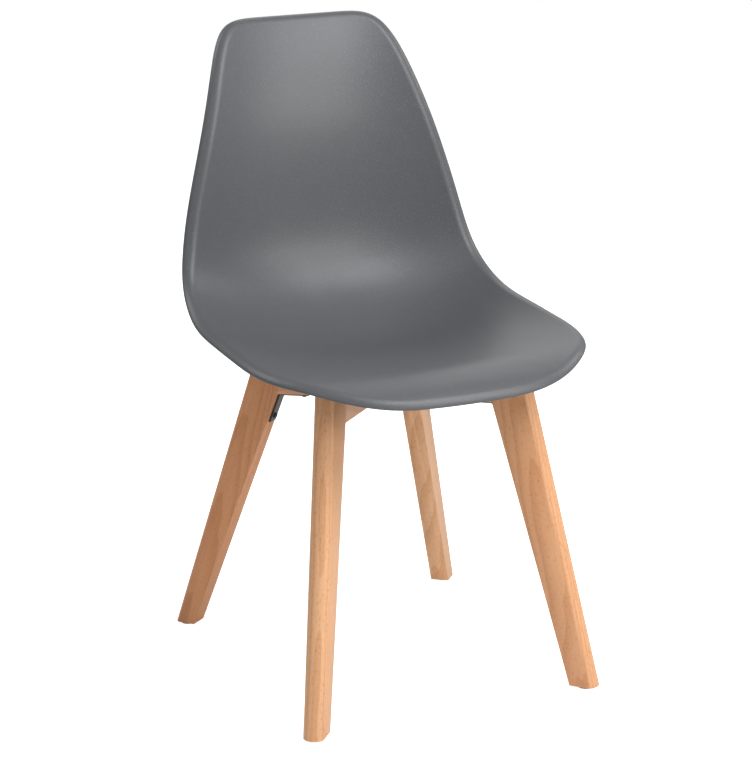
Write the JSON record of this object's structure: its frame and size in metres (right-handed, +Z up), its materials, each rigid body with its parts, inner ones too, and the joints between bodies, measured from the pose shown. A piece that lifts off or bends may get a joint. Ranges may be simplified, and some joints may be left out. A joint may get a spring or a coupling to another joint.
{
  "type": "moulded plastic shell side chair",
  "caption": "Armless side chair: a one-piece moulded plastic bucket shell with a rolled rim on crossed beech bars and tapered, outward-leaning beech legs.",
  "frame": {"origin": "on the floor, under the middle of the chair's bounding box", "axes": "+Z up; the sitter looks along -Y, so the front edge of the seat is towards -Y and the backrest towards +Y; +X is to the right of someone who stands in front of the chair and looks at it"},
  "size_m": [0.4456, 0.5382, 0.8233],
  "materials": {
    "shell_plastic": "satin, fine moulded grain, mid grey polypropylene",
    "beech": "clear satin lacquer over steamed beech",
    "dowel_beech": "plain turned beech, glued",
    "black_steel": "satin black coating",
    "zinc_steel": "bright zinc plate",
    "brass": "turned",
    "rubber": "matt black",
    "glide_plastic": "grey nylon"
  },
  "bodies": {
    "root": {"seat_shell": "shell_plastic", "crossbar_lower": "beech", "crossbar_upper": "beech", "leg_front_left": "beech", "leg_front_right": "beech", "leg_rear_left": "beech", "leg_rear_right": "beech", "bracket_front_left": "black_steel", "bracket_front_right": "black_steel", "bracket_rear_left": "black_steel", "bracket_rear_right": "black_steel", "glide_front_left": "glide_plastic", "glide_front_right": "glide_plastic", "glide_rear_left": "glide_plastic", "glide_rear_right": "glide_plastic", "dowels_front_left": "dowel_beech", "dowels_front_right": "dowel_beech", "dowels_rear_left": "dowel_beech", "dowels_rear_right": "dowel_beech", "bracket_leg_screws": "black_steel", "bracket_bar_screws": "black_steel", "seat_bolts": "zinc_steel", "seat_washers": "zinc_steel", "seat_spring_washers": "zinc_steel", "seat_spacers": "rubber", "seat_inserts": "brass", "crossing_bolt": "zinc_steel", "crossing_nut": "zinc_steel", "crossing_washers": "zinc_steel", "glide_nails": "zinc_steel"}
  },
  "joints": []
}
